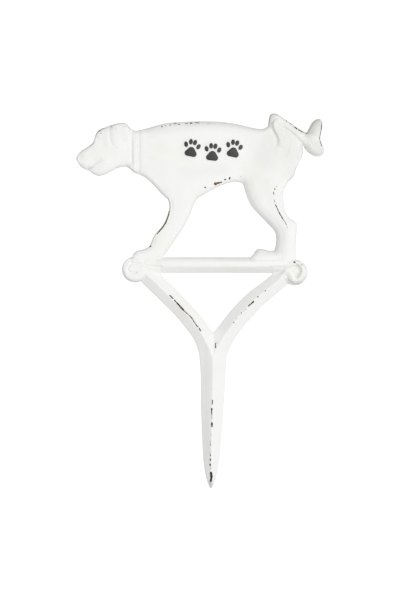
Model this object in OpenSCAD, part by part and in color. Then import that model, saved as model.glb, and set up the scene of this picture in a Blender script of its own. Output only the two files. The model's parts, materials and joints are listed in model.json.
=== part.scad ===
// Cast-iron garden stake sign: a dog seen from the side, standing on a ridged bar
// between two scrolls, on two arms that meet in a ground spike.
// The whole stake is one casting with a flat back. It stands upright: +Z is up, the
// face looks along -Y, the flat back is the plane Y = 0, and Z = 0 is the ground line.

/* [Casting] */
// Thickness of the casting at its outer edge
edge_t = 2.5; // [2:0.5:4]
// Width of the rounding round the dog's outline
edge_round = 4.5; // [3:0.5:6]
// How far that rounding stands above the outer edge
edge_rise = 3.5; // [2:0.5:4]
// Swell of the flank, as a share of the width there
swell = 0.035; // [0.01:0.005:0.05]

/* [Frame] */
// Thickness at the face of the bar and at the ridge of the arms
ridge_t = 8; // [6:0.5:10]
// Height of the bar's face
bar_h = 15.5; // [14:0.5:18]
// Outer radius of the scrolls at the ends of the bar
scroll_r = 12.8; // [12:0.1:14]
// Thickness of the scrolls
scroll_t = 8.5; // [7:0.5:10]

/* [Spike] */
// Length of the spike below the ground line
spike_depth = 120; // [90:5:160]
// Thickness at the ridge of the spike
spike_t = 9; // [7:0.5:11]

/* [Collar] */
// Width of the dog's collar
collar_w = 5; // [3:0.5:7]
// How far the collar stands above the neck
collar_rise = 1.2; // [0.5:0.1:2]

/* [Paw prints] */
// Size of one raised print, across its toes
print_w = 17; // [12:0.5:19]
// How far the prints stand above the flank
print_rise = 1.2; // [0.6:0.1:2]

/* [Hidden] */
paint = "whitesmoke";
print_paint = "#2a2a2c";

// Steps between two hand-placed stations of an outline
fine = 3;
coarse = 2;
// Where the points of a rounded edge lie, as shares of its width
wide_set = [0, 0.25, 1];
close_set = [0, 0.1, 0.4, 1];
// Width of the dog at the middle of the flank, and the thickness of its face there
flank_w = 75;
flank_t = edge_t + edge_rise + swell * flank_w;

// Each outline below is a list of stations. A station is a pair of points [x, z], one on
// each edge of the strip of metal, and the strip runs from the first pair to the last.

// Head, from the collar to the nose: upper edge, lower edge
head = [
    [[-76, 237], [-76, 195.5]], [[-81, 240], [-81, 199]], [[-86, 245], [-86, 202]],
    [[-96, 244.5], [-95, 200]], [[-106, 241], [-104, 195]], [[-113, 238], [-112, 192.5]],
    [[-116, 233], [-118, 194.5]], [[-118, 226.5], [-122, 197.5]],
    [[-123, 222], [-127, 199.5]], [[-130, 217.5], [-131, 202.5]],
    [[-134, 213], [-134, 207]], [[-135, 210.5], [-135, 209.5]]
];

// Body, from the collar to the haunch: back, belly
body = [
    [[-77, 237], [-76.5, 195.5]], [[-66, 239.5], [-66, 191]], [[-56, 242.5], [-55, 180.5]],
    [[-46, 245], [-45, 170]], [[-31, 246.5], [-31, 165]], [[-16, 247], [-16, 169]],
    [[-1, 247], [-6, 175]], [[14, 246], [4, 180.5]], [[29, 243.5], [14, 184.5]],
    [[41, 240.5], [24, 187]], [[52, 239.5], [33, 184]], [[64, 245], [40, 177]],
    [[77, 240], [47, 171]], [[87, 231], [54, 167]], [[91.5, 220], [60, 166]],
    [[90.5, 212], [65, 169]], [[87.5, 206], [68, 174]], [[84.5, 200], [69, 180]],
    [[82.5, 193], [72, 184]]
];

// Hind leg, from the haunch to the bar: heel edge, shin edge
hind_leg = [
    [[83.5, 197], [31, 186]], [[82, 191.5], [33.5, 178]], [[76.5, 186.5], [35, 173]],
    [[73, 179], [37.5, 167]], [[71.5, 172], [41, 161]], [[72, 165], [46, 155.5]],
    [[73, 159], [52, 149.5]], [[76, 152.5], [58, 143]], [[80, 149], [62, 138.5]],
    [[85.5, 144.5], [64.5, 134]], [[84.5, 133], [64.5, 124]], [[84, 121], [63, 118]],
    [[84, 106], [62, 106]]
];

// Front leg and paw: front edge, rear edge
front_leg = [
    [[-48, 182], [-5, 184]], [[-43.5, 169], [-14.5, 169.5]], [[-42, 162], [-18, 163]],
    [[-43.5, 155], [-21, 155]], [[-46.5, 147], [-25.5, 146]], [[-51.5, 139.5], [-30, 138]],
    [[-56.5, 134], [-34.5, 131.5]], [[-59.5, 128], [-39, 125]], [[-61.5, 123], [-44.5, 117]],
    [[-65, 120.5], [-51, 110]], [[-70, 118.5], [-59, 105]], [[-75, 117.5], [-70, 103.5]],
    [[-78.5, 114], [-77.5, 105]]
];

// Hind paw, from the heel to the toes: upper edge, lower edge
hind_paw = [
    [[77, 124], [77, 105]], [[61, 117.5], [61, 105]], [[53, 119], [53, 105]],
    [[46, 119.5], [45, 105]], [[42, 114.5], [39, 106]], [[38, 110], [36, 107]]
];

// Tail, from its root over the hump: upper edge, lower edge
tail = [
    [[56.5, 242], [69, 232]], [[57.5, 250], [70, 238]], [[59.5, 254.5], [72, 240]],
    [[65, 254.5], [75, 238.5]], [[72, 250], [79, 235]], [[80, 244.5], [84, 230.5]],
    [[88, 239], [90, 225]], [[94, 236], [95, 219]], [[98, 235], [101, 215]]
];

// Brush at the end of the tail, from its upper tip to its lower tip: left edge, right edge
tail_brush = [
    [[105, 249.5], [108.5, 249.5]], [[100.5, 246], [110.5, 246.5]], [[97.5, 240.5], [110.5, 240]],
    [[94.5, 234], [108.5, 231.5]], [[93, 227], [109.5, 226]], [[93, 220], [112.5, 220]],
    [[98, 215], [112, 215]], [[103.5, 212], [108.5, 212]]
];

// Ear flap, from the crown of the head to its tip: front edge, rear edge
ear = [
    [[-99.5, 242.5], [-83, 241.5]], [[-101.5, 238], [-81, 236]], [[-101.5, 232], [-83, 230]],
    [[-100.5, 226], [-86, 225]], [[-98, 221], [-89, 221]], [[-93, 217], [-91.5, 217]]
];

// Lip of the haunch under the root of the tail: raised edge, edge that sinks into the flank
haunch_lip = [
    [[63, 249.5], [72, 248]], [[61, 246], [71, 244]], [[61, 240], [71, 238]],
    [[63.5, 234], [74, 231]], [[66.5, 229], [77, 226]], [[67, 224.5], [77, 221]],
    [[65.5, 220], [73, 217]]
];

// Grooves in the face, as points [x, z, thickness left under the groove]
mouth = [[-123, 200.5, 3.5], [-119, 203, 4.5], [-115.5, 206, 5], [-111, 208.5, 6]];
nose_fold = [[-131.5, 212, 4.5], [-129, 211, 5.5]];

// Arms, from the scroll to the fork: left edge, right edge
left_arm = [
    [[-72, 89], [-61, 101]], [[-66, 82.5], [-52, 95.5]], [[-56, 73], [-41, 84.5]],
    [[-46, 63], [-31, 74]], [[-36, 53], [-21, 64]], [[-26, 41], [-11, 52.5]],
    [[-18, 30], [-2, 40.5]], [[-13, 18], [5, 30]], [[-11.5, 6], [13, 18]],
    [[-10.5, -7], [14, 0]]
];
right_arm = [
    [[68, 101], [79, 89]], [[61.5, 95], [74.5, 83]], [[49, 84.5], [61, 71.5]],
    [[39, 77.5], [50, 62]], [[29, 68], [40, 51]], [[19, 57.5], [31, 41]],
    [[9, 44.5], [22, 28]], [[3, 37], [17, 18]], [[-7, 23], [15, 11]], [[-11, 8], [14, 0]]
];

// Spike: left edge, right edge, with the depth as a share of spike_depth
spike_shape = [
    [[-12, -0.1], [15, -0.1]], [[-10.5, 0.04], [14, 0.04]], [[-10.5, 0.27], [12.5, 0.27]],
    [[-9.5, 0.52], [10, 0.52]], [[-8, 0.77], [7.5, 0.77]], [[-5.5, 0.9], [4.5, 0.9]],
    [[-3.5, 0.955], [2.5, 0.955]], [[-1, 1], [-0.5, 1]]
];

// The bar: height of the ridge between its face and the bevel below, the width of both, and
// how it narrows towards its ends, as [x, share of its full size]
bar_ridge_z = 102;
bar_top = 0.59 * bar_h;
bar_foot = bar_h - bar_top;
bar_ends = [[-75, 0.1], [-72, 0.55], [-67, 0.85], [-60, 1], [69, 1], [76, 0.85], [81, 0.55], [84, 0.1]];

// Middle of the two scrolls, and the turn of the groove in them
left_scroll = [-76.5, 99];
right_scroll = [83, 96];
coil_turn = 380;
coil_steps = 16;

// Paw prints: depth of their root in the flank, slope at their edges, and the width at
// which the print below is drawn
print_root = 3;
pad_slope = 0.5;
drawn_w = 17;

// Catmull-Rom curve through stations or points, n steps to each span
function smooth(p, n) = [
    for (i = [0 : len(p) - 2])
        let (a = p[max(i - 1, 0)], b = p[i], c = p[i + 1], d = p[min(i + 2, len(p) - 1)])
            for (k = [0 : n - 1])
                let (t = k / n)
                    0.5 * (2 * b + (c - a) * t + (2 * a - 5 * b + 4 * c - d) * t * t
                        + (3 * b - a - 3 * c + d) * t * t * t),
    p[len(p) - 1]
];

// Quarter of an ellipse: 0 at the edge, 1 from the end of the rounding on
function quarter(s) = sqrt(1 - pow(1 - min(1, s), 2));

// Sections, as [share of the width, thickness] from one edge to the other.
// Rounded face with a swell in the middle, for a strip that is w wide
function round_face(w, edge, rise, round, shares) =
    let (r = min(round, 0.4 * w), h = rise * min(1, w / (2 * round)))
        let (half = shares * r / w, last = len(shares) - 1)
            [for (u = concat(half, [0.5], [for (i = [last : -1 : 0]) 1 - half[i]]))
                [u, edge + h * quarter(min(u, 1 - u) * w / r) + swell * w * 4 * u * (1 - u)]];

// Two flat facets that meet in a ridge, lower where the strip is narrower than full_w
function ridge_face(w, edge, top, full_w = 16) =
    [[0, edge], [0.5, edge + (top - edge) * min(1, w / full_w)], [1, edge]];

// Solid strip of metal between two edges, flat at the back, with the given sections
module strip(stations, sections) {
    count = len(stations);
    m = len(sections[0]) + 2;
    points = [
        for (i = [0 : count - 1])
            let (a = stations[i][0], b = stations[i][1])
                each concat(
                    [[a.x, 0, a.y]],
                    [for (s = sections[i]) [a.x + (b.x - a.x) * s[0], -s[1], a.y + (b.y - a.y) * s[0]]],
                    [[b.x, 0, b.y]])
    ];
    run = stations[1][0] + stations[1][1] - stations[0][0] - stations[0][1];
    across = stations[0][1] - stations[0][0];
    turned = across.x * run.y - across.y * run.x > 0;
    sides = [
        for (i = [0 : count - 2], j = [0 : m - 1])
            let (a = i * m + j, b = i * m + (j + 1) % m)
                each [[a, b, b + m], [a, b + m, a + m]]
    ];
    caps = [[for (j = [m - 1 : -1 : 0]) j], [for (j = [0 : m - 1]) (count - 1) * m + j]];
    faces = concat(sides, caps);
    polyhedron(points, turned ? [for (f = faces) [for (i = [len(f) - 1 : -1 : 0]) f[i]]] : faces);
}

// Strip with a rounded face
module round_strip(outline, n, edge = edge_t, rise = edge_rise, round = edge_round, shares = wide_set) {
    st = smooth(outline, n);
    strip(st, [for (s = st) round_face(norm(s[1] - s[0]), edge, rise, round, shares)]);
}

// Strip with two facets and a ridge
module ridge_strip(outline, n, top) {
    st = smooth(outline, n);
    strip(st, [for (s = st) ridge_face(norm(s[1] - s[0]), edge_t, top)]);
}

module dog() {
    round_strip(head, fine, shares = close_set);
    round_strip(body, coarse, shares = close_set);
    round_strip(hind_leg, coarse, round = 10, shares = close_set);
    round_strip(front_leg, coarse);
    round_strip(hind_paw, coarse);
    round_strip(tail, coarse, rise = edge_rise + 1);
    round_strip(tail_brush, coarse, round = 8);
    round_strip(ear, coarse, edge = flank_t - 2, rise = 1.8, round = 3);
    lip = smooth(haunch_lip, coarse);
    strip(lip, [for (i = [0 : len(lip) - 1])
        let (t = flank_t - 1.6 * pow(i / (len(lip) - 1), 3))
            [[0, t - 1.8], [0.08, t - 0.2], [0.3, t + 0.2], [1, t - 2.2]]]);
}

// Collar: a bead that follows the rounded neck from its upper to its lower edge
module collar() {
    top = [-75.5, 237.2];
    bottom = [-76, 195.9];
    neck_w = top.y - bottom.y;
    shares = [0, 0.02, 0.06, 0.12, 0.3, 0.5, 0.7, 0.88, 0.94, 0.98, 1];
    half = [collar_w / 2, 0];
    strip([for (v = shares) let (c = top + (bottom - top) * v) [c - half, c + half]],
        [for (v = shares)
            let (d = min(v, 1 - v) * neck_w)
                let (t = edge_t + edge_rise * quarter(d / edge_round) + swell * neck_w * 4 * v * (1 - v))
                    [for (u = [0, 0.15, 0.35, 0.5, 0.65, 0.85, 1])
                        [u, t - 1 + (collar_rise + 1) * quarter(2 * min(u, 1 - u))]]]);
}

// Groove with sloping sides, cut along a path of points [x, z, thickness left]
module groove(path, sides = 12) {
    for (i = [0 : len(path) - 2])
        hull()
            for (p = [path[i], path[i + 1]])
                translate([p.x, -p.z, p.y])
                    rotate([90, 0, 0])
                        cylinder(h = 6, r1 = 0.3, r2 = 4.5, $fn = sides);
}

// Scroll at an end of the bar: a domed disc, with a groove that winds in towards its boss
module scroll(centre) {
    rim = scroll_r * 0.3;
    translate([centre.x, 0, centre.y])
        rotate([90, 0, 0])
            rotate_extrude($fn = 40)
                polygon(concat([[0, 0], [scroll_r, 0]],
                    [for (s = [0, 0.15, 0.5, 1])
                        [scroll_r - s * rim, edge_t + (scroll_t - 0.5 - edge_t) * quarter(s)]],
                    [[0, scroll_t]]));
}

// Path of that groove, [x, z, thickness left], side is 1 on the left and -1 on the right
function coil(centre, side) = [
    for (i = [0 : coil_steps])
        let (f = i / coil_steps, a = 60 + coil_turn * f, r = scroll_r * (0.54 - 0.28 * f))
            [centre.x + side * r * cos(a), centre.y + r * sin(a), scroll_t - 2]
];

module frame() {
    bar = [for (s = bar_ends) [[s.x, bar_ridge_z + s.y * bar_top], [s.x, bar_ridge_z - s.y * bar_foot]]];
    strip(bar, [for (s = bar_ends)
        let (rise = s.y * (ridge_t - edge_t))
            [[0, edge_t], [0.1, edge_t + 0.5 * rise], [0.26, edge_t + 0.94 * rise],
                [bar_top / bar_h, edge_t + rise], [1, edge_t + 0.15 * rise]]]);
    ridge_strip(left_arm, coarse, ridge_t);
    ridge_strip(right_arm, coarse, ridge_t);
    spike = [for (s = spike_shape) [for (p = s) [p.x, -p.y * spike_depth]]];
    ridge_strip(spike, coarse, spike_t);
    scroll(left_scroll);
    scroll(right_scroll);
}

// One raised pad of a paw print, with sloping sides and its root sunk in the flank
module pad() {
    tall = print_root + print_rise;
    hull() {
        linear_extrude(tall - pad_slope)
            children();
        linear_extrude(tall)
            offset(delta = -pad_slope)
                children();
    }
}

// Paw print on the flank: a broad pad below four toes
module paw_print(x, z, turn) {
    unit = print_w / drawn_w;
    translate([x, print_root - flank_t, z])
        rotate([90, turn, 0])
            scale([unit, unit, 1]) {
                pad()
                    hull() {
                        translate([0, -1])
                            circle(r = 3.6, $fn = 16);
                        for (i = [-1, 1])
                            translate([3.1 * i, -4])
                                circle(r = 2.9, $fn = 16);
                    }
                for (i = [-1.5, -0.5, 0.5, 1.5])
                    pad()
                        translate([4.2 * i, 8 - 1.7 * i * i])
                            rotate(-14 * i)
                                scale([1, 1.45])
                                    circle(r = 1.9, $fn = 14);
            }
}

module sign_casting() {
    color(paint)
        difference() {
            union() {
                dog();
                collar();
                frame();
            }
            groove(mouth);
            groove(nose_fold);
            groove(coil(left_scroll, 1), 6);
            groove(coil(right_scroll, -1), 6);
        }
    color(print_paint) {
        paw_print(-20, 218.5, -12);
        paw_print(1, 214.5, -6);
        paw_print(22, 218, -12);
    }
}

sign_casting();
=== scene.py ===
import json
import math

import bpy
import numpy as np
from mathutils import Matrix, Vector

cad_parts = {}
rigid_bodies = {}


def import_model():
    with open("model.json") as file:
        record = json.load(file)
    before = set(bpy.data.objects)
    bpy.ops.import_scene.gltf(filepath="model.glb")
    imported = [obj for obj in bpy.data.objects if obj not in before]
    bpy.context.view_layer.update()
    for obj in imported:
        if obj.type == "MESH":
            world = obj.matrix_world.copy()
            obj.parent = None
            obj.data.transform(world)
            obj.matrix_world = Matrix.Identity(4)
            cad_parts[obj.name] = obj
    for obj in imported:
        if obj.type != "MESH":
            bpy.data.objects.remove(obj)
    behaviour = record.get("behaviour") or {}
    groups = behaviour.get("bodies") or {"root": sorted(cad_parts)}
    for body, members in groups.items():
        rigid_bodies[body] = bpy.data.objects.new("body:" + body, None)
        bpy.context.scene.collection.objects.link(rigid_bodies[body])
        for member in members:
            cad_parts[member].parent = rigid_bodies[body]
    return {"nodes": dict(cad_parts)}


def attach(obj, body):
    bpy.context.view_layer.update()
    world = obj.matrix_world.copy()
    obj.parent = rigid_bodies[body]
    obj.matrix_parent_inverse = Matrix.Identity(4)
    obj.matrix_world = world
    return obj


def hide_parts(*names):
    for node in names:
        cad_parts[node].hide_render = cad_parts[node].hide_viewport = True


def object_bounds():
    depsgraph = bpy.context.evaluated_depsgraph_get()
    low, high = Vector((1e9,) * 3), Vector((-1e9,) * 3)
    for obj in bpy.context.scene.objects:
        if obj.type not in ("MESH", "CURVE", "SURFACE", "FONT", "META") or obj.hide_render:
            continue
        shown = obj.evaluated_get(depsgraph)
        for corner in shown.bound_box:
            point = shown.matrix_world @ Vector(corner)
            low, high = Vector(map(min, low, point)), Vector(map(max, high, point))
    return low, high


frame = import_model()
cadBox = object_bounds()
mm = 0.001


# Small helpers

def deselectAll():
    if bpy.context.object and bpy.context.object.mode != "OBJECT":
        bpy.ops.object.mode_set(mode="OBJECT")
    bpy.ops.object.select_all(action="DESELECT")


def makeActive(piece):
    deselectAll()
    piece.select_set(True)
    bpy.context.view_layer.objects.active = piece


def applyModifier(piece, kind, **settings):
    # adds one modifier, sets it up and applies it
    makeActive(piece)
    modifier = piece.modifiers.new(kind.lower(), kind)
    for name, value in settings.items():
        setattr(modifier, name, value)
    bpy.ops.object.modifier_apply(modifier=modifier.name)


def readCoords(piece):
    coords = np.zeros(len(piece.data.vertices) * 3, np.float32)
    piece.data.vertices.foreach_get("co", coords)
    return coords.reshape(-1, 3).astype(float)


def writeCoords(piece, coords):
    piece.data.vertices.foreach_set("co", coords.astype(np.float32).ravel())
    piece.data.update()


def readNormals(piece):
    normals = np.zeros(len(piece.data.vertices) * 3, np.float32)
    piece.data.vertices.foreach_get("normal", normals)
    return normals.reshape(-1, 3).astype(float)


def selectFacing(mesh, sign, least=0.99):
    # in edit mode: the faces that look straight along Y, the plus or the minus way
    bpy.ops.mesh.select_all(action="DESELECT")
    bpy.ops.object.mode_set(mode="OBJECT")
    for face in mesh.polygons:
        face.select = face.normal.y * sign > least
    for edge in mesh.edges:
        edge.select = False
    bpy.ops.object.mode_set(mode="EDIT")


def makeGroup(piece, name, weights, steps=10):
    # a vertex group whose weights go in even steps
    group = piece.vertex_groups.new(name=name)
    levels = np.round(weights * steps).astype(int)
    for level in range(1, steps + 1):
        group.add([int(i) for i in np.nonzero(levels == level)[0]], level / steps, "REPLACE")


def smoothStep(value, low, high):
    share = np.clip((value - low) / (high - low), 0, 1)
    return share * share * (3 - 2 * share)


def curveThrough(points, steps=6):
    # Catmull-Rom curve through given points
    points = [np.array(p, float) for p in points]
    if len(points) < 3:
        return points
    out = []
    for i in range(len(points) - 1):
        a, b, c = points[max(i - 1, 0)], points[i], points[i + 1]
        d = points[min(i + 2, len(points) - 1)]
        for step in range(steps):
            t = step / steps
            out.append(0.5 * (2 * b + (c - a) * t + (2 * a - 5 * b + 4 * c - d) * t ** 2
                              + (3 * b - a - 3 * c + d) * t ** 3))
    out.append(points[-1])
    return out


def distanceToPath(spots, path, tiny=1e-12):
    # distance of each spot to the path, the share of the path there, and the side (+ is left)
    best = np.full(len(spots), np.inf)
    share = np.zeros(len(spots))
    side = np.ones(len(spots))
    if len(path) == 1:
        return np.linalg.norm(spots - path[0], axis=1), share, side
    spans = [np.linalg.norm(path[i + 1] - path[i]) for i in range(len(path) - 1)]
    total, run = sum(spans), 0.0
    for i, span in enumerate(spans):
        a, along = path[i], path[i + 1] - path[i]
        rel = spots - a
        t = np.clip(rel @ along / max(span * span, tiny), 0, 1)
        gap = np.linalg.norm(rel - t[:, None] * along, axis=1)
        nearer = gap < best
        best[nearer] = gap[nearer]
        share[nearer] = ((run + t * span) / total)[nearer]
        side[nearer] = np.sign(along[0] * rel[:, 1] - along[1] * rel[:, 0])[nearer]
        run += span
    return best, share, side


def nearPath(spots, curve, reach):
    # index of the spots in the box round a curve
    path = np.array(curve)
    low, high = path.min(0) - reach, path.max(0) + reach
    return np.nonzero(np.all((spots > low) & (spots < high), axis=1))[0]


# The casting: a smoothed copy of the solid, with the fine relief worked in

castingValues = {
    "weld": 0.01 * mm,                # points of the solid that are nearer than this are joined
    "voxel": 0.65 * mm,
    "smoothRounds": 14,
    "smoothShare": 0.5,
    "smoothedFacing": (0.3, 0.65),    # from none to all, by how far a point's normal looks forward
    "fillRounds": 420,                # for the places that are levelled before they are worked again
    "levelDepth": 3 * mm,             # what is nearer to the flat back isn't levelled
    "sculptedFacing": (0.3, 0.7),     # as for the smoothing, but for the marks
    "lipEnds": (0.12, 0.85),          # shares of a lip's path where it is fully up and starts to go
    "margin": 0.002 * mm,             # kept inside the front of the solid's box
    "triangleShare": 0.42,            # of the triangles that stay: the flat back loses most
    "creaseAngle": 58,                # in degrees: sharper edges stay crisp, as round the flat back
    # Paths and places below are [x, z] in millimetres.
    # Places that are levelled: middle, reach, strength
    "levelled": {
        "printLeft": ((-20, 219.5), 12.5, 1),
        "printMiddle": ((1, 215.5), 12.5, 1),
        "printRight": ((22, 219), 12.5, 1),
        "scrollLeft": ((-77, 99), 8.5, 1),
        "scrollRight": ((83, 96.5), 8.5, 1),
        "pawEnd": ((-60, 106.5), 5.0, 1),
        "barEndLeft": ((-57, 101.5), 7.0, 1),
        "barEndRight": ((68, 101.5), 6.0, 1),
        "mouth": ((-116, 205), 9.0, 1),
        "nose": ((-130.5, 211.5), 3.5, 1),
        "ear": ((-91, 230), 15.0, 0.1),
    },
    # Soft ridges and grooves: path, reach to each side, height (minus is a groove), and for some
    # the share of the path over which they die away at its end
    "soft": {
        "noseFold": ([(-132, 212), (-129, 211)], 2.0, -0.15),
        "mouth": ([(-124, 198.6), (-121.5, 200.8), (-118, 204), (-114.5, 206.7), (-110, 208.9),
                   (-104.5, 211)], 3.0, -1.1, 0.55),
        "lowerLip": ([(-117, 202), (-111, 205), (-104, 206)], 3.0, 0.35),
        "collarFoot": ([(-79.6, 205), (-78.6, 199)], 2.0, 0.5),
        "skullTop": ([(-98, 243), (-91, 244), (-85, 243.2), (-80.5, 240)], 3.4, 2.0),
        "eyeHollow": ([(-114, 228), (-110, 225)], 5.0, -0.3),
        "cheek": ([(-105.5, 238), (-104.5, 229), (-103.5, 223)], 3.0, 0.2),
        "jaw": ([(-113, 200), (-103, 206), (-92, 211), (-82, 213)], 8.0, 0.2),
        "earRear": ([(-79, 240), (-84, 232), (-88, 224)], 2.2, 0.2),
        "collarFront": ([(-80.2, 247), (-80.2, 222), (-80, 206)], 2.0, -0.3),
        "collarSide": ([(-77.8, 247), (-77.8, 222), (-77.6, 194)], 1.6, 0.55),
        "collarBead": ([(-75.2, 247), (-75.2, 222), (-75, 194)], 2.2, 0.2),
        "collarBack": ([(-72.4, 247), (-72.4, 222), (-72.2, 196)], 2.2, -0.45),
        "rumpFoldFront": ([(80, 224), (78.5, 218), (76, 212)], 2.2, 0.4),
        "rumpFoldBack": ([(88.5, 221), (88, 216), (86.5, 210)], 1.8, 0.35),
        "haunchHollow": ([(63.2, 249), (59.2, 244.5), (60.4, 239), (63.4, 232.5), (65, 227),
                          (63.6, 221.5)], 2.6, -0.55),
        "tailCrease": ([(78, 238), (84, 231), (91, 223)], 2.4, -0.5),
        "foldLeft": ([(-50, 101.6), (-56.5, 101.6), (-65, 102.6), (-72.2, 104.5), (-80, 105.5)],
                     1.8, -1.1),
        "swirlLeft": ([(-80, 105.5), (-82.2, 103.2), (-83.4, 101), (-83.4, 97.8), (-81, 95.7),
                       (-77.8, 95.5)], 2.1, -1.0),
        "swirlRidge": ([(-86.8, 101), (-86.5, 94), (-82, 90), (-76, 90.5)], 2.4, 0.35),
        "pitLeft": ([(-75.1, 95.9)], 1.8, -0.9),
        "foldRight": ([(58, 101.2), (70, 101.5), (76.5, 102), (82.2, 103.9), (86, 103)], 1.8, -0.6),
        "grooveRight": ([(84.6, 103.6), (87.4, 101), (88.5, 97.5), (87.3, 93.8), (85, 91)],
                        2.8, -2.2),
        "crestRight": ([(68, 92.5), (73, 96.5), (78, 99.5), (82, 101.3), (85, 100.5)], 2.4, 0.6),
        "curlRight": ([(80.5, 97.5), (81.5, 94.8), (84, 93.6)], 1.5, -0.4),
    },
    # Lips: path, width of the rise, height, and the distance over which the raised side fades out.
    # The raised side is left of the path's direction.
    "lips": {
        "ear": ([(-86, 222), (-90, 218.3), (-94, 218.2), (-97, 220.2), (-100, 223.4), (-101.8, 227),
                 (-102.2, 232), (-101.6, 237), (-99.5, 241)], 2.2, 0.42, 8.0),
        "haunch": ([(64.8, 250), (60.9, 245), (62.1, 239.2), (65.2, 232.8), (66.8, 227.1),
                    (65.4, 221)], 3.1, 1.25, 12.0),
    },
    # Edges whose fall to the outline is made deeper (plus) or filled up (minus): path, reach,
    # share of the depth at the outline
    "edges": {
        "brushLeft": ([(95.6, 235.5), (98.5, 241.5), (102.8, 247.8), (108.5, 249.5)], 7.0, 0.62),
        "brushBelow": ([(93, 221), (98.5, 215.5), (105.5, 212.5), (110.5, 215)], 7.0, 0.45),
        "scrollUnder": ([(75, 92), (77.5, 86.5), (82.5, 83.8), (89, 84.5), (93.5, 88.5)], 5.5, 0.6),
        "scrollLeftRim": ([(-83, 110.5), (-87.5, 106.5), (-89.8, 101), (-90, 96), (-88.5, 91)],
                          3.0, -0.8),
        "frontLegLeft": ([(-50, 139.5), (-57.5, 131.5), (-61, 123)], 3.5, -0.25),
        "frontLegHigh": ([(-42.5, 170), (-40.8, 160), (-43, 150.5), (-47.5, 142)], 2.5, -0.2),
        "hindLegLeft": ([(31.5, 187), (34.5, 177.5), (39.5, 165.5), (46.5, 155.5), (55.5, 146.5),
                         (63.5, 137.5), (65.5, 127.5), (63.5, 118)], 11.0, 0.32),
        "noseTip": ([(-134, 216), (-135, 210), (-132.5, 205)], 3.0, -0.3),
        "hindPaw": ([(41, 112), (47, 121), (56, 122)], 5.0, 0.25),
        "hindLegRight": ([(71.5, 172), (70.9, 166.3), (75.4, 154.1), (85.4, 146.3), (83.7, 131.8),
                          (83.7, 110.7)], 5.0, -0.25),
        "back": ([(-25, 246), (-12, 247), (5, 247.5), (25, 246), (45, 242)], 7.0, 0.28),
        "barTop": ([(-50, 111.8), (-20, 111.8), (3, 111.8)], 4.5, -0.3),
        "barTopRight": ([(12, 111.8), (40, 111.8)], 4.0, -0.15),
        "barBelow": ([(-50, 95.5), (10, 95.5), (68, 95.5)], 6.5, 0.26),
        "skull": ([(-98, 245.5), (-90, 247), (-83, 246), (-79, 241)], 3.0, -0.25),
        "collarCorner": ([(-81, 200.5), (-78.5, 198)], 3.5, -0.4),
    },
}


def keepInBox(coords):
    # no point stands before the solid's foremost one or behind its flat back
    coords[:, 1] = np.clip(coords[:, 1], cadBox[0].y + castingValues["margin"], 0)
    return coords


def sculptSoft(coords, facing, path, reach, height, fade=0):
    curve = curveThrough(path)
    near = nearPath(coords[:, [0, 2]] / mm, curve, reach)
    gap, share = distanceToPath(coords[near][:, [0, 2]] / mm, curve)[:2]
    soft = smoothStep(1 - gap / reach, 0, 1)
    if fade:
        soft *= 1 - smoothStep(share, 1 - fade, 1)
    coords[near, 1] -= height * mm * soft * facing[near]


def sculptLip(coords, facing, path, rise, height, fade):
    curve = curveThrough(path)
    near = nearPath(coords[:, [0, 2]] / mm, curve, fade)
    gap, share, side = distanceToPath(coords[near][:, [0, 2]] / mm, curve)
    across = gap * side
    swell = smoothStep(across, -rise / 2, rise / 2) * (1 - smoothStep(across, rise / 2, fade))
    start, end = castingValues["lipEnds"]
    ends = smoothStep(share, 0, start) * (1 - smoothStep(share, end, 1))
    coords[near, 1] -= height * mm * swell * ends * facing[near]


def sculptEdge(coords, path, reach, share):
    # the depth is scaled, so the wall and the face move together
    curve = curveThrough(path)
    near = nearPath(coords[:, [0, 2]] / mm, curve, reach)
    gap = distanceToPath(coords[near][:, [0, 2]] / mm, curve)[0]
    coords[near, 1] *= 1 - share * np.clip(1 - gap / reach, 0, 1) ** 2


def smoothDepth(piece, group, share, rounds):
    # along Y only, so the outline stays where it is
    applyModifier(piece, "SMOOTH", factor=share, iterations=rounds, use_x=False, use_z=False,
                  vertex_group=group)


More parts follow.
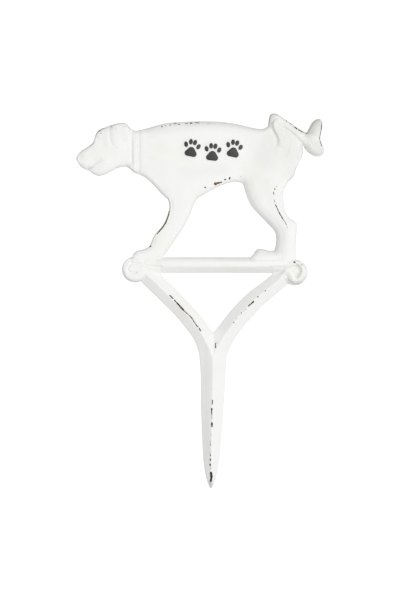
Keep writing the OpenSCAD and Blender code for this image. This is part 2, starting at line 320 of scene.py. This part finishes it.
def buildCasting():
    v = castingValues
    node = frame["nodes"]["sign_casting"]
    piece = bpy.data.objects.new("sign_body", node.data.copy())
    bpy.context.scene.collection.objects.link(piece)
    piece.data.materials.clear()
    makeActive(piece)
    bpy.ops.object.mode_set(mode="EDIT")
    bpy.ops.mesh.select_all(action="SELECT")
    bpy.ops.mesh.remove_doubles(threshold=v["weld"])
    bpy.ops.object.mode_set(mode="OBJECT")
    applyModifier(piece, "REMESH", mode="VOXEL", voxel_size=v["voxel"], use_smooth_shade=True)
    print("casting remeshed:", len(piece.data.vertices), "points")

    coords, normals = readCoords(piece), readNormals(piece)
    makeGroup(piece, "face", smoothStep(-normals[:, 1], *v["smoothedFacing"]))
    smoothDepth(piece, "face", v["smoothShare"], v["smoothRounds"])
    levelled = np.zeros(len(coords))
    for middle, reach, strength in v["levelled"].values():
        gap = np.linalg.norm(coords[:, [0, 2]] / mm - np.array(middle), axis=1)
        inside = (gap < reach) & (coords[:, 1] < -v["levelDepth"])
        levelled[inside] = np.maximum(levelled[inside], strength)
    makeGroup(piece, "levelled", levelled)
    smoothDepth(piece, "levelled", 1.0, v["fillRounds"])
    print("face smoothed, places levelled:", len(v["levelled"]))

    coords, normals = readCoords(piece), readNormals(piece)
    facing = smoothStep(-normals[:, 1], *v["sculptedFacing"])
    for mark in v["soft"].values():
        sculptSoft(coords, facing, *mark)
    for mark in v["lips"].values():
        sculptLip(coords, facing, *mark)
    for mark in v["edges"].values():
        sculptEdge(coords, *mark)
    writeCoords(piece, keepInBox(coords))
    print("relief worked in:", len(v["soft"]) + len(v["lips"]) + len(v["edges"]), "marks")

    # with fewer triangles, and the back shaded flat
    applyModifier(piece, "DECIMATE", decimate_type="COLLAPSE", ratio=v["triangleShare"])
    writeCoords(piece, keepInBox(readCoords(piece)))
    piece.vertex_groups.clear()
    makeActive(piece)
    bpy.ops.object.shade_smooth_by_angle(angle=math.radians(v["creaseAngle"]))
    bpy.ops.object.mode_set(mode="EDIT")
    bpy.ops.mesh.select_mode(type="FACE")
    selectFacing(piece.data, 1)
    bpy.ops.mesh.faces_shade_flat()
    bpy.ops.object.mode_set(mode="OBJECT")
    piece.data.calc_loop_triangles()
    print("casting done:", len(piece.data.loop_triangles), "triangles")
    return piece


# Wear of the casting, painted on its points as distances in millimetres, and a layer of painted shade
# and dirt

wearValues = {
    "rustShare": 0.3,       # of the bare iron, where a stroke names no other
    "reach": 4.0,           # in millimetres, how far out the distance to a stroke is kept
    "curveSteps": 3,        # between two points of a path
    "margin": 0.7,          # in millimetres, how far round a stroke the mesh is made finer
    "cuts": 2,              # in each edge there
    "backDepth": 1.0 * mm,  # nothing is worn nearer to the flat back than this
    # Places rubbed or chipped through to the iron: path [x, z] in millimetres, half the width, and
    # the share of rust there if it isn't the usual one
    "strokes": {
        "spike1": ([(0.5, -21)], 0.3),
        "spike2": ([(0.9, -31.5), (0.7, -36)], 0.5),
        "spike3": ([(0.2, -39.5), (0.2, -42.5)], 0.6),
        "spike4": ([(0.3, -43), (0.5, -50)], 0.3),
        "spike5": ([(0.5, -54), (0.4, -57.8)], 0.8),
        "spike6": ([(-0.5, -64.6)], 0.45),
        "spike7": ([(-0.5, -66.5)], 0.35),
        "spike8": ([(-1, -69)], 0.35),
        "spike9": ([(-1, -71.5)], 0.4),
        "spike10": ([(-1, -74)], 0.35),
        "spike11": ([(-1, -76)], 0.35),
        "spike12": ([(-1.1, -79.6)], 0.45),
        "spike13": ([(-1.1, -82.8)], 0.5),
        "spike14": ([(-1.1, -86), (-1.1, -87)], 0.6),
        "spike15": ([(-1.2, -90), (-1.2, -91.4)], 0.75),
        "spike16": ([(-1.3, -95.2), (-1.2, -96.6)], 0.75),
        "spike17": ([(-0.7, -99.6)], 0.4),
        "spike18": ([(-0.5, -104), (-0.1, -108), (-0.6, -112)], 1.25),
        "armLeft1": ([(-41.5, 73), (-38.7, 70.2)], 0.55),
        "armLeft2": ([(-37.1, 68.5), (-34, 65.1)], 0.45),
        "armLeft3": ([(-34, 65.1), (-27.7, 58.2)], 0.9, 0.45),
        "armLeft4": ([(-27.7, 58.2), (-20.2, 51), (-16.5, 45.4), (-13.7, 41.6)], 0.45),
        "armLeft5": ([(-12.4, 40.1), (-10.6, 37.6)], 0.55),
        "armRight1": ([(53.5, 77.5)], 0.5),
        "armRight2": ([(46.3, 71.8)], 0.7),
        "armRight3": ([(42, 67), (37, 62.5)], 0.65),
        "armRight4": ([(34, 59)], 0.4),
        "armRight5": ([(32, 57)], 0.4),
        "armRight6": ([(29.9, 55.6)], 0.4),
        "armRight7": ([(25.3, 49.7)], 0.45),
        "armRight8": ([(22.3, 46.2)], 0.5),
        "fork1": ([(4, 25), (4, 21)], 0.45),
        "fork2": ([(6, 26)], 0.35),
        "frontLegHigh": ([(-42, 157), (-43.3, 152), (-45.3, 146.5)], 0.42, 0.9),
        "frontLegLow": ([(-45.3, 146.5), (-48.2, 141.5), (-51.2, 138), (-53.9, 134.7)], 0.58, 0.4),
        "frontPaw": ([(-61.2, 121.9), (-60.5, 122.3)], 0.7),
        "hindLeg1": ([(64.9, 182.9), (65, 182)], 0.5, 0.6),
        "hindLeg2": ([(63.1, 179.2)], 0.8, 0.6),
        "hindLeg3": ([(62, 176), (61.8, 173.5)], 0.35),
        "hindLeg4": ([(61, 170.5)], 0.3),
        "hindLeg5": ([(62.6, 168.5), (63.1, 165.8)], 0.27),
        "hindLeg6": ([(63.9, 163.3), (66, 159), (68, 155), (70.5, 150.7), (72.6, 147.4)], 0.47),
        "hindLeg7": ([(72.8, 147), (74.5, 144), (75.8, 140.5)], 0.3),
        "belly1": ([(-6.4, 180.9)], 0.8),
        "belly2": ([(3.6, 184.5), (4.3, 184.6)], 1.4, 0.9),
        "belly3": ([(4.8, 184.9), (7.2, 185.3)], 0.95, 0.9),
        "belly4": ([(13.2, 188.7), (13.9, 188.8)], 0.7, 0.5),
        "belly6": ([(18, 189.4), (18.2, 190.8)], 0.65, 0.3),
        "belly7": ([(7.8, 185.7), (9.8, 186.1)], 0.45, 0.9),
        "belly5": ([(29, 192)], 0.3),
        "back1": ([(-49.6, 241.7)], 0.65, 0.3),
        "back2": ([(-46.4, 242.3), (-45.6, 242.5)], 0.3, 0.3),
        "back3": ([(-41.6, 243), (-40.8, 243.2)], 0.55, 0.3),
        "back4": ([(-37.5, 244.2), (-35, 244.5)], 0.3, 0.3),
        "back5": ([(-33.5, 243.9), (-31.6, 244)], 0.45, 0.3),
        "back6": ([(-26.4, 244.7), (-23.8, 244.9)], 0.4, 0.3),
        "back7": ([(-20.9, 245.1), (-19.6, 245.1)], 0.85, 0.2),
        "back8": ([(-16.9, 245.6), (-12, 245.3)], 0.36, 0.3),
        "back9": ([(-4.5, 245), (-1, 244.9)], 0.3, 0.3),
        "back10": ([(13.5, 245)], 0.3),
        "tail1": ([(74.8, 247.4)], 0.6),
        "tail2": ([(78.5, 245), (80.5, 243.8)], 0.3),
        "tail3": ([(83.3, 241), (85, 239.7)], 0.7),
        "tail4": ([(87, 238.5), (91.5, 235.6)], 0.45),
        "tail5": ([(94.5, 235), (95.5, 235.8)], 0.45),
        "brushEdge": ([(110.7, 246.5), (109.8, 241), (109.5, 237.5), (108.1, 230.5), (110, 222.5)],
                      0.36),
        "scrollSpot1": ([(82.5, 106.2), (83.1, 106.2)], 0.7),
        "scrollSpot2": ([(90.1, 103.6)], 0.65, 0.7),
        "brow1": ([(-112.3, 236.9), (-110.8, 237.4)], 0.45),
        "brow2": ([(-110, 239), (-106.6, 240.9)], 0.35),
        "brow3": ([(-111.4, 235.3), (-109.8, 234.7)], 0.25, 0.7),
    },
    # Soft darkening: painted shade in grooves, folds, hollows and along shaded edges, and dirt and
    # darker tone elsewhere: path, reach, strength
    "shadeAndDirt": {
        "muzzleTop": ([(-132, 216.5), (-128, 219.8), (-123.5, 222.2), (-118.5, 225.5), (-117, 230),
                       (-116, 233), (-113.5, 236.5), (-110, 239.5), (-104, 242.2), (-97, 244.6),
                       (-89, 245.8), (-85, 245.2)], 1.6, 0.75),
        "earTop": ([(-99, 240.5), (-95.5, 239.5)], 3.0, 0.2),
        "brushEdge": ([(95.5, 236), (99, 242), (103, 247.5), (108, 249.8)], 4.5, 1.0),
        "brushNotch": ([(94.6, 236.5), (95.8, 238.5)], 2.2, 1.0),
        "flank": ([(42, 236), (46, 212), (42, 190)], 16.0, 0.12),
        "underside": ([(-28, 196), (12, 199)], 11.0, 0.12),
        "hookTop": ([(61.5, 250.5)], 4.0, 0.5),
        "haunchFold": ([(58, 243), (61, 238), (64.5, 231), (66.5, 225)], 3.2, 0.34),
        "foot": ([(72, 111)], 7.0, 0.12),
        "rumpSide": ([(70, 203)], 9.0, 0.12),
        "thighInside": ([(50, 171), (47, 182)], 8.0, 0.1),
        "chest": ([(-66, 198)], 5.0, 0.12),
        "elbow": ([(-45, 178)], 5.5, 0.12),
        "brow": ([(-113, 231)], 3.5, 0.25),
        "brushRight": ([(107, 232)], 6.0, 0.3),
        "hindLeg": ([(56, 186), (62, 165), (70, 142), (72, 118)], 12.0, 0.16),
        "brushTop": ([(104, 244), (109, 248)], 5.0, 0.5),
        "tailHook": ([(57, 243.6), (57.6, 250.5), (58.8, 253.6), (61.6, 255.5), (65.2, 254.4)],
                     4.4, 0.72),
        "barRight": ([(40, 98.8), (66, 98.5)], 7.0, 0.22),
        "brush": ([(102, 236), (107, 244)], 9.0, 0.58),
        "brushRoot": ([(98, 228), (104, 222), (109, 217)], 12.0, 0.35),
        "pitLeft": ([(-75.1, 95.9)], 1.6, 0.6),
        "grooveRight": ([(84.8, 103.4), (87.4, 101), (88.5, 97.5), (87.2, 93.8), (85.3, 91.4)],
                        2.1, 0.6),
        "foldRight": ([(58, 101.2), (70, 101.5), (76.5, 102), (82.2, 103.9)], 1.8, 0.25),
        "haunch": ([(56, 212), (70, 236), (78, 212)], 26.0, 0.26),
        "rump": ([(82, 222), (82, 206), (78, 197)], 13.0, 0.22),
        "neck": ([(-71.5, 244), (-71.5, 222), (-71.5, 199)], 4.5, 0.18),
        "pawCorner": ([(40.5, 110)], 5.0, 0.4),
        "heelCorner": ([(62.5, 119)], 5.0, 0.3),
        "earRear": ([(-88, 237), (-86, 229)], 6.0, 0.13),
        "lip": ([(-123.5, 199.4), (-120.5, 200.8)], 2.4, 0.45),
        "scrollFoot": ([(74.5, 89.5), (77.5, 85.5)], 3.0, 0.6),
        "brushBelow": ([(93, 221), (98.5, 215.5), (105.5, 212.5), (110.5, 215)], 4.0, 0.45),
        "thigh": ([(32, 187), (34.5, 177.5), (39.5, 165.5), (46.5, 155.5), (55.5, 146.5)],
                  8.0, 0.24),
        "shin": ([(55.5, 147), (63, 138.5), (65.5, 128), (64, 117)], 7.0, 0.4),
        "spikeLeft": ([(-5.5, 22), (-5, -30), (-3.5, -85)], 4.5, 0.11),
        "hindPaw": ([(47, 115), (60, 116)], 8.0, 0.25),
        "armRight": ([(68, 97), (38, 72), (12, 42)], 9.0, 0.16),
        "tip": ([(-0.8, -113), (-0.5, -119)], 3.0, 0.9),
        "scrollUnder": ([(78, 87), (83, 84), (90, 85)], 4.0, 0.35),
        "back": ([(-62, 238), (-40, 241), (-20, 243.5), (0, 244), (20, 243), (40, 240), (57, 239)],
                 9.0, 0.24),
    },
}


def insideStrokes(piece):
    # how far each point lies inside the nearest stroke, in millimetres, and the rust there
    v = wearValues
    coords = readCoords(piece)
    spots = coords[:, [0, 2]] / mm
    front = coords[:, 1] < -v["backDepth"]
    inside = np.full(len(spots), -v["reach"])
    rust = np.full(len(spots), v["rustShare"])
    for path, halfWidth, *rustHere in v["strokes"].values():
        curve = curveThrough(path, v["curveSteps"])
        near = nearPath(spots, curve, v["reach"])
        near = near[front[near]]
        depth = halfWidth - distanceToPath(spots[near], curve)[0]
        deeper = depth > inside[near]
        inside[near[deeper]] = depth[deeper]
        rust[near[deeper]] = rustHere[0] if rustHere else v["rustShare"]
    return inside, rust


def refineNear(piece):
    # the mesh is made finer round the worn places, so that their edges come out crisp
    inside = insideStrokes(piece)[0] > -wearValues["margin"]
    makeActive(piece)
    bpy.ops.object.mode_set(mode="EDIT")
    bpy.ops.mesh.select_mode(type="VERT")
    bpy.ops.mesh.select_all(action="DESELECT")
    bpy.ops.object.mode_set(mode="OBJECT")
    piece.data.vertices.foreach_set("select", inside)
    bpy.ops.object.mode_set(mode="EDIT")
    bpy.ops.mesh.subdivide(number_cuts=wearValues["cuts"], smoothness=0)
    bpy.ops.object.mode_set(mode="OBJECT")


def addLayer(piece, name, values):
    layer = piece.data.attributes.new(name, "FLOAT", "POINT")
    layer.data.foreach_set("value", values.astype(np.float32))


def paintWearAndShade(piece):
    v = wearValues
    refineNear(piece)
    worn, rust = insideStrokes(piece)
    addLayer(piece, "worn", worn)       # above 0 the iron shows
    addLayer(piece, "rusted", rust)
    coords = readCoords(piece)
    spots = coords[:, [0, 2]] / mm
    # painted shade and dirt: a darkening that fades out round each given path
    shadeAndDirt = np.zeros(len(spots))
    for path, reach, strength in v["shadeAndDirt"].values():
        curve = curveThrough(path, v["curveSteps"])
        near = nearPath(spots, curve, reach)
        gap = distanceToPath(spots[near], curve)[0]
        shadeAndDirt[near] = np.maximum(shadeAndDirt[near], strength * smoothStep(1 - gap / reach, 0, 1))
    shadeAndDirt[coords[:, 1] > -v["backDepth"]] = 0
    addLayer(piece, "shadeAndDirt", shadeAndDirt)
    piece.data.calc_loop_triangles()
    print("wear painted:", len(v["strokes"]), "strokes and", len(v["shadeAndDirt"]), "dulled places, now",
          len(piece.data.loop_triangles), "triangles")


# Materials

class Signal:
    # one shader socket, with the sums that are used on it
    def __init__(self, shop, socket):
        self.shop = shop
        self.socket = socket

    def __add__(self, other):
        return self.shop.math("ADD", self, other)

    def __sub__(self, other):
        return self.shop.math("SUBTRACT", self, other)

    def __mul__(self, other):
        return self.shop.math("MULTIPLY", self, other)

    def __radd__(self, other):
        return self.shop.math("ADD", other, self)

    def __rsub__(self, other):
        return self.shop.math("SUBTRACT", other, self)

    def __rmul__(self, other):
        return self.shop.math("MULTIPLY", other, self)


class PaintShop:
    # builds the nodes of a material or of the world
    def __init__(self, owner):
        self.owner = owner
        owner.use_nodes = True
        self.tree = owner.node_tree
        self.tree.nodes.clear()

    def node(self, kind, output=0, settings=None, sockets=None):
        made = self.tree.nodes.new(kind)
        for name, value in (settings or {}).items():
            setattr(made, name, value)
        for name, value in (sockets or {}).items():
            if isinstance(value, Signal):
                self.tree.links.new(value.socket, made.inputs[name])
            else:
                made.inputs[name].default_value = value
        return Signal(self, made.outputs[output] if made.outputs else None)

    def math(self, operation, first, second):
        return self.node("ShaderNodeMath", 0, {"operation": operation}, {0: first, 1: second})

    def blend(self, share, first, second):
        # colour mix: inputs 6 and 7 of the node are its two colours, output 2 the mixed one
        first, second = (c if isinstance(c, Signal) else (*c, 1) for c in (first, second))
        return self.node("ShaderNodeMix", 2, {"data_type": "RGBA"}, {0: share, 6: first, 7: second})

    def step(self, value, low, high):
        # 0 below low, 1 above high
        return self.node("ShaderNodeMapRange", 0, {"interpolation_type": "SMOOTHSTEP"},
                         {"Value": value, "From Min": low, "From Max": high})

    def noise(self, place, scale, detail, roughness=0.5):
        return self.node("ShaderNodeTexNoise", 0, None,
                         {"Vector": place, "Scale": scale, "Detail": detail, "Roughness": roughness})

    def layer(self, name):
        # one of the layers painted on the mesh
        return self.node("ShaderNodeAttribute", "Fac", {"attribute_name": name})

    def finish(self, surface, kind="ShaderNodeOutputMaterial"):
        self.node(kind, 0, None, {"Surface": surface})
        print("shader built:", self.owner.name)
        return self.owner


paintValues = {
    "white": (0.865, 0.865, 0.853),
    "aged": (0.83, 0.82, 0.765),       # faint blotches in the paint
    "shadeDirtTone": (0.47, 0.47, 0.44),        # grey of the painted shade and of the dirt
    "stain": (0.84, 0.70, 0.52),       # rust that has crept under the paint
    "iron": (0.028, 0.021, 0.015),
    "rust": (0.15, 0.10, 0.06),
    "agedShare": 0.5,                  # of the aged colour in a blotch
    "shadeDirtShare": 0.8,                  # of that grey where the painted shade and dirt are full
    "shadeDirtSwing": 0.5,                  # how uneven that is
    "stainShare": 0.05,                # of the stain colour beside clean iron
    "stainMore": 0.25,                 # more of it beside fully rusted iron
    "rustSwing": 1.4,                  # how uneven the rust on bare iron is
    "chipFine": 1.3,                   # how ragged a chip's edge is, in millimetres
    "chipCoarse": 1.0,
    "grainHeight": 0.03,               # of the sand grain, in millimetres
    "lumpHeight": 0.10,                # of the casting's slow unevenness
    "backHeight": 0.30,                # of the rougher sand marks on the flat back
    "paintHeight": 0.16,               # of the paint's edge at a chip
    "roughness": 0.58,
    "grainRoughness": 0.12,
    "bareRoughness": 0.35,             # more on bare iron
    "sheen": 0.3,                      # strength of the paint's gloss
    # Patterns: scale, detail and, where it isn't the usual 0.5, roughness
    "noise": {
        "chipFine": (900, 3),
        "chipCoarse": (260, 2),
        "stain": (400, 2),
        "aged": (28, 3, 0.6),
        "shadeDirtTone": (240, 3),
        "rust": (500, 4, 0.65),
        "grain": (1500, 2),
        "lump": (130, 2),
        "back": (420, 3, 0.65),
    },
    # Where each one sets in and where it is full
    "limits": {
        "bare": (-0.04, 0.10),         # in millimetres inside a stroke, minus is outside it
        "stain": (-1.3, -0.1),         # the same
        "stainPatch": (0.35, 0.65),
        "aged": (0.48, 0.72),
        "rust": (0.3, 0.7),
        "back": (-0.3 * mm, -0.05 * mm),
    },
}


def whitePaint():
    # a noise less 0.5, its middle value, swings about zero
    v, limits = paintValues, paintValues["limits"]
    shop = PaintShop(bpy.data.materials.new("worn_white_paint"))
    place = shop.node("ShaderNodeTexCoord", "Object")
    noise = {name: shop.noise(place, *values) for name, values in v["noise"].items()}
    worn, rusted, shadeAndDirt = shop.layer("worn"), shop.layer("rusted"), shop.layer("shadeAndDirt")

    fine, coarse = noise["chipFine"] - 0.5, noise["chipCoarse"] - 0.5
    edge = worn + (fine * v["chipFine"] + coarse * v["chipCoarse"])
    bare = shop.step(edge, *limits["bare"])
    stain = shop.step(edge, *limits["stain"]) * shop.step(noise["stain"], *limits["stainPatch"])

    aged = shop.step(noise["aged"], *limits["aged"]) * v["agedShare"]
    # painted shade and dirt: the paint goes towards the grey where that layer is strong
    shadeDirtMix = shadeAndDirt * (v["shadeDirtShare"] + (noise["shadeDirtTone"] - 0.5) * v["shadeDirtSwing"])
    paint = shop.blend(aged, v["white"], v["aged"])
    paint = shop.blend(shadeDirtMix, paint, v["shadeDirtTone"])
    paint = shop.blend(stain * (v["stainShare"] + rusted * v["stainMore"]), paint, v["stain"])
    rust = shop.step(rusted + (noise["rust"] - 0.5) * v["rustSwing"], *limits["rust"])
    colour = shop.blend(bare, paint, shop.blend(rust, v["iron"], v["rust"]))

    depth = shop.node("ShaderNodeSeparateXYZ", "Y", None, {"Vector": place})
    back = shop.step(depth, *limits["back"]) * noise["back"]
    height = noise["grain"] * v["grainHeight"] + noise["lump"] * v["lumpHeight"]
    height = height + (1 - bare) * v["paintHeight"] + back * v["backHeight"]
    bump = shop.node("ShaderNodeBump", 0, None, {"Strength": 1.0, "Distance": mm, "Height": height})
    gloss = v["roughness"] + (noise["grain"] - 0.5) * v["grainRoughness"] + bare * v["bareRoughness"]
    surface = shop.node("ShaderNodeBsdfPrincipled", 0, None,
                        {"Base Color": colour, "Roughness": gloss, "Normal": bump,
                         "Specular IOR Level": v["sheen"]})
    return shop.finish(surface)


# Paw prints: one crisp print, modelled flat, then copied and laid on the flank

printValues = {
    "rise": 0.95 * mm,            # above the flank
    "root": 1.2 * mm,             # sunk below it
    "sides": 40,                  # of each pad's outline
    "inset": 0.5 * mm,            # width of the slope inside a pad's edge
    "crown": 0.06 * mm,           # how far the top is raised inside it
    "bevel": 0.28 * mm,
    "bevelSteps": 3,
    "creaseAngle": 50,            # in degrees: sharper edges stay crisp
    "places": [(-20, 218.5, -12), (1, 214.5, -6), (22, 218, -12)],     # x, z, turn in degrees
    "padDiscs": [(0, -1, 3.6), (3.1, -4, 2.9), (-3.1, -4, 2.9)],       # x, z, radius in millimetres
    "toeSides": [-1.5, -0.5, 0.5, 1.5],      # steps of each toe from the middle
    "toeSize": (1.9, 2.75),                  # half the width and height, in millimetres
    "toeTurn": 14,                           # in degrees, for one step
    "toeSpread": 4.2,                        # in millimetres, for one step
    "toeTop": 8,                             # height of the toes' arch, in millimetres
    "toeFall": 1.7,                          # below it at one step, and growing with the square
    "fitReach": 12,                          # in millimetres round a print, for the flank's shape
    "fitDepth": 4 * mm,                      # and only in front of this
    "ink": (0.012, 0.012, 0.013),
    "rubbed": (0.06, 0.058, 0.055),
    "rubbedShare": 0.5,
    "rubbedNoise": (420, 4, 0.6),
    "rubbedLimits": (0.6, 0.75),
    "grainNoise": (1500, 2),
    "grainHeight": 0.03,                     # in millimetres
    "roughness": 0.5,
    "rubbedRoughness": 0.2,                  # more where it is rubbed
}


def addDisc(x, z, radius):
    # a short cylinder that faces -Y, from the root to the top of a pad
    v = printValues
    bpy.ops.mesh.primitive_cylinder_add(vertices=v["sides"], radius=radius * mm,
                                        depth=v["rise"] + v["root"],
                                        location=(x * mm, (v["root"] - v["rise"]) / 2, z * mm),
                                        rotation=(math.radians(90), 0, 0))


def crownPad():
    # the top's edge is rounded and its middle raised a little
    v = printValues
    piece = bpy.context.object
    bpy.ops.object.transform_apply(location=True, rotation=True, scale=True)
    bpy.ops.object.mode_set(mode="EDIT")
    bpy.ops.mesh.select_mode(type="FACE")
    selectFacing(piece.data, -1)
    bpy.ops.mesh.inset(thickness=v["inset"], depth=v["crown"])
    bpy.ops.mesh.select_more()
    bpy.ops.mesh.region_to_loop()
    bpy.ops.mesh.bevel(offset=v["bevel"], segments=v["bevelSteps"], affect="EDGES")
    bpy.ops.object.mode_set(mode="OBJECT")
    return piece


def modelPrint():
    # the main pad is one hull round three discs, and each toe is a disc stretched in height
    v = printValues
    deselectAll()
    discs = []
    for x, z, radius in v["padDiscs"]:
        addDisc(x, z, radius)
        discs.append(bpy.context.object)
    for disc in discs:
        disc.select_set(True)
    bpy.ops.object.join()
    bpy.ops.object.mode_set(mode="EDIT")
    bpy.ops.mesh.select_all(action="SELECT")
    bpy.ops.mesh.convex_hull()
    bpy.ops.mesh.dissolve_limited(angle_limit=math.radians(1))
    bpy.ops.object.mode_set(mode="OBJECT")
    pads = [crownPad()]
    for side in v["toeSides"]:
        deselectAll()
        addDisc(0, 0, v["toeSize"][0])
        bpy.ops.object.mode_set(mode="EDIT")
        bpy.ops.mesh.select_all(action="SELECT")
        bpy.ops.transform.resize(value=(1, 1, v["toeSize"][1] / v["toeSize"][0]))
        bpy.ops.object.mode_set(mode="OBJECT")
        toe = bpy.context.object
        bpy.ops.object.transform_apply(location=True, rotation=True, scale=True)
        toe.rotation_euler = (0, math.radians(v["toeTurn"] * side), 0)
        height = v["toeTop"] - v["toeFall"] * side * side
        toe.location = (v["toeSpread"] * side * mm, 0, height * mm)
        pads.append(crownPad())
    deselectAll()
    for pad in pads:
        pad.select_set(True)
    bpy.context.view_layer.objects.active = pads[0]
    bpy.ops.object.join()
    pattern = bpy.context.object
    bpy.ops.object.transform_apply(location=True, rotation=True, scale=True)
    bpy.ops.object.shade_smooth_by_angle(angle=math.radians(v["creaseAngle"]))
    return pattern


def bowlTerms(spots):
    # terms of a second-degree surface
    x, z = spots[:, 0], spots[:, 1]
    return np.stack([np.ones(len(spots)), x, z, x ** 2, x * z, z ** 2], 1)


def flankDepth(casting, x, z, flat):
    # depth of the flat print's points, on a smooth surface fitted to the face round (x, z)
    v = printValues
    coords = readCoords(casting)
    spots = coords[:, [0, 2]] / mm - np.array([x, z])
    near = (np.linalg.norm(spots, axis=1) < v["fitReach"]) & (coords[:, 1] < -v["fitDepth"])
    fit = np.linalg.lstsq(bowlTerms(spots[near]), coords[near, 1], rcond=None)[0]
    return bowlTerms(flat) @ fit


def buildPrints(casting):
    v = printValues
    pattern = modelPrint()
    prints = []
    for number, (x, z, turn) in enumerate(v["places"]):
        copy = bpy.data.objects.new("paw_print_%d" % (number + 1), pattern.data.copy())
        bpy.context.scene.collection.objects.link(copy)
        coords = readCoords(copy)
        angle = math.radians(turn)
        flat = coords[:, [0, 2]] / mm @ np.array([[math.cos(angle), math.sin(angle)],
                                                  [-math.sin(angle), math.cos(angle)]])
        depth = flankDepth(casting, x, z, flat)
        coords = np.stack([(flat[:, 0] + x) * mm, coords[:, 1] + depth, (flat[:, 1] + z) * mm], 1)
        writeCoords(copy, keepInBox(coords))
        prints.append(copy)
    bpy.data.objects.remove(pattern)
    print("paw prints laid on the flank:", len(prints))
    return prints


def printPaint():
    v = printValues
    shop = PaintShop(bpy.data.materials.new("charcoal_paint"))
    place = shop.node("ShaderNodeTexCoord", "Object")
    rubbed = shop.step(shop.noise(place, *v["rubbedNoise"]), *v["rubbedLimits"])
    height = shop.noise(place, *v["grainNoise"]) * v["grainHeight"]
    bump = shop.node("ShaderNodeBump", 0, None, {"Strength": 1.0, "Distance": mm, "Height": height})
    surface = shop.node("ShaderNodeBsdfPrincipled", 0, None,
                        {"Base Color": shop.blend(rubbed * v["rubbedShare"], v["ink"], v["rubbed"]),
                         "Roughness": v["roughness"] + rubbed * v["rubbedRoughness"], "Normal": bump})
    return shop.finish(surface)


# Floor and room

stageValues = {
    "floorDrop": 0.38,            # below the tip of the spike
    "floorRadius": 1.7,
    "floorSides": 96,
    "floorColour": (0.80, 0.80, 0.795),
    "floorRoughness": 0.9,
    "floorFade": (0.5, 0.97),     # shares of the radius where it starts to fade out and is gone
    "ambient": 0.455,             # light of the white room
    "sheet": 1.05,                # brightness of the backdrop that the camera sees
}


def buildStage():
    v = stageValues
    deselectAll()
    bpy.ops.mesh.primitive_circle_add(vertices=v["floorSides"], radius=v["floorRadius"],
                                      fill_type="NGON",
                                      location=(0, 0, cadBox[0].z - v["floorDrop"]))
    floor = bpy.context.object
    floor.name = "floor"
    shop = PaintShop(bpy.data.materials.new("pale_floor"))
    place = shop.node("ShaderNodeTexCoord", "Object")
    radius = shop.node("ShaderNodeVectorMath", "Value", {"operation": "LENGTH"}, {0: place})
    fade = 1 - shop.step(radius, *(v["floorRadius"] * share for share in v["floorFade"]))
    surface = shop.node("ShaderNodeBsdfPrincipled", 0, None,
                        {"Base Color": (*v["floorColour"], 1), "Roughness": v["floorRoughness"],
                         "Alpha": fade})
    floor.data.materials.append(shop.finish(surface))

    bpy.context.scene.world = bpy.data.worlds.new("white_room")
    shop = PaintShop(bpy.context.scene.world)
    seen = shop.node("ShaderNodeLightPath", "Is Camera Ray")
    white = (1, 1, 1, 1)
    room = shop.node("ShaderNodeBackground", 0, None, {"Color": white, "Strength": v["ambient"]})
    sheet = shop.node("ShaderNodeBackground", 0, None, {"Color": white, "Strength": v["sheet"]})
    shop.finish(shop.node("ShaderNodeMixShader", 0, None, {0: seen, 1: room, 2: sheet}),
                "ShaderNodeOutputWorld")
    print("floor and room set up")


# Lights: soft boxes that face the middle of the sign

lightValues = {
    "middle": (0, 0, 0.07),
    "keyWay": (0.271, -0.949, 0.16),     # from the middle to the large light in front
    "keyDistance": 2.6,
    "keySize": 1.2,
    "keyPower": 40.6,
    "sidePlace": (2.0, 1.0, 0.2),        # to the right and a little behind
    "sideSize": 0.8,
    "sidePower": 8.0,
    "backPlace": (-0.1, 2.6, 0.2),
    "backSize": 1.0,
    "backPower": 29.0,
}


def addSoftbox(name, place, size, power):
    deselectAll()
    bpy.ops.object.light_add(type="AREA", location=place)
    lamp = bpy.context.object
    lamp.name = name
    lamp.data.shape = "SQUARE"
    lamp.data.size = size
    lamp.data.energy = power
    aim = Vector(lightValues["middle"]) - Vector(place)
    lamp.rotation_euler = aim.to_track_quat("-Z", "Y").to_euler()


def lightScene():
    v = lightValues
    keyPlace = Vector(v["middle"]) + Vector(v["keyWay"]) * v["keyDistance"]
    addSoftbox("key_light", keyPlace, v["keySize"], v["keyPower"])
    addSoftbox("side_light", v["sidePlace"], v["sideSize"], v["sidePower"])
    addSoftbox("back_light", v["backPlace"], v["backSize"], v["backPower"])
    print("lights placed: 3")


# Camera: square on to the sign, far back

cameraValues = {
    "x": -0.011,              # middle of the view
    "z": 0.068,
    "distance": 3.0,
    "frameHeight": 0.601,     # height of the view in the plane of the flat back
    "sensor": 36,             # in millimetres, along the taller side of the view
}


def placeCamera():
    v = cameraValues
    deselectAll()
    bpy.ops.object.camera_add(location=(v["x"], -v["distance"], v["z"]),
                              rotation=(math.radians(90), 0, 0))
    camera = bpy.context.object
    camera.data.sensor_width = v["sensor"]
    camera.data.lens = v["sensor"] * v["distance"] / v["frameHeight"]
    bpy.context.scene.camera = camera
    print("camera placed")


# Everything put together

casting = buildCasting()
paintWearAndShade(casting)
casting.data.materials.append(whitePaint())
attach(casting, "root")
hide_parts("sign_casting")

charcoal = printPaint()
for pawPrint in buildPrints(casting):
    pawPrint.data.materials.clear()
    pawPrint.data.materials.append(charcoal)
    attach(pawPrint, "root")

buildStage()
lightScene()
placeCamera()
bpy.context.scene.view_settings.view_transform = "Standard"
